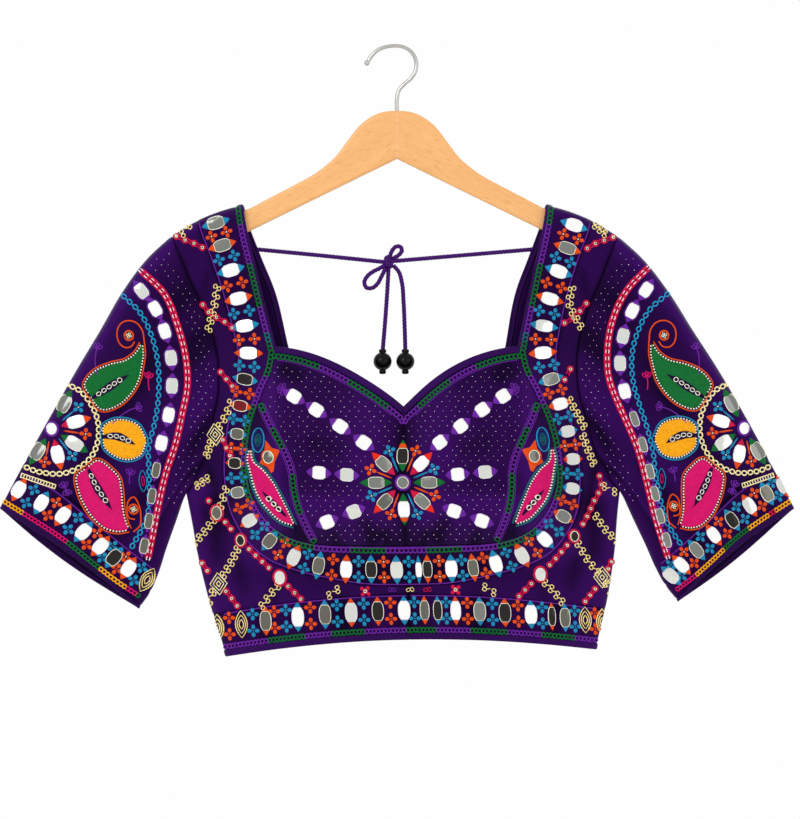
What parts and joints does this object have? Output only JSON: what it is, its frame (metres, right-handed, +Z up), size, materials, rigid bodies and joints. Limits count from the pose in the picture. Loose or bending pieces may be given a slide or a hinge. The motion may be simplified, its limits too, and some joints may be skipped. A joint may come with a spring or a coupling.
{
  "type": "choli blouse on a wooden hanger",
  "caption": "Short fitted purple choli blouse with moulded cups, half sleeves and mirror-work borders, tied with a cord at the back neck and hung on a wooden hanger.",
  "frame": {"origin": "inside of the hook's crest, where it rests on a rail, in the hanger's middle plane", "axes": "+Z up, +X to the viewer's right along the shoulders, the front of the blouse faces -Y"},
  "size_m": [0.7154, 0.0698, 0.5512],
  "materials": {
    "purple_cloth": "satin-faced purple cloth with thread, mirror and pin-dot embroidery",
    "border_cloth": "purple cloth under a dense mirror and knot-flower border",
    "binding": "satin, folded edge",
    "cord": "twisted satin cord",
    "beech": "clear satin lacquer",
    "steel": "polished plated wire",
    "bead": "glossy black"
  },
  "bodies": {
    "root": {"cup_centre_left": "purple_cloth", "cup_side_left": "purple_cloth", "side_front_left": "purple_cloth", "back_left": "purple_cloth", "sleeve_left": "purple_cloth", "front_border_left": "border_cloth", "cuff_border_left": "border_cloth", "hem_border_front_left": "border_cloth", "hem_border_back_left": "border_cloth", "neckline_binding_left": "binding", "strap_binding_left": "binding", "back_neck_binding_left": "binding", "cuff_binding_left": "binding", "hem_binding_front_left": "binding", "hem_binding_back_left": "binding", "tie_left": "cord", "bow_loop_left": "cord", "tie_end_left": "cord", "bead_left": "bead", "cup_centre_right": "purple_cloth", "cup_side_right": "purple_cloth", "side_front_right": "purple_cloth", "back_right": "purple_cloth", "sleeve_right": "purple_cloth", "front_border_right": "border_cloth", "cuff_border_right": "border_cloth", "hem_border_front_right": "border_cloth", "hem_border_back_right": "border_cloth", "neckline_binding_right": "binding", "strap_binding_right": "binding", "back_neck_binding_right": "binding", "cuff_binding_right": "binding", "hem_binding_front_right": "binding", "hem_binding_back_right": "binding", "tie_right": "cord", "bow_loop_right": "cord", "tie_end_right": "cord", "bead_right": "bead", "tie_knot": "cord", "hanger_wood": "beech", "hanger_hook": "steel"}
  },
  "joints": []
}
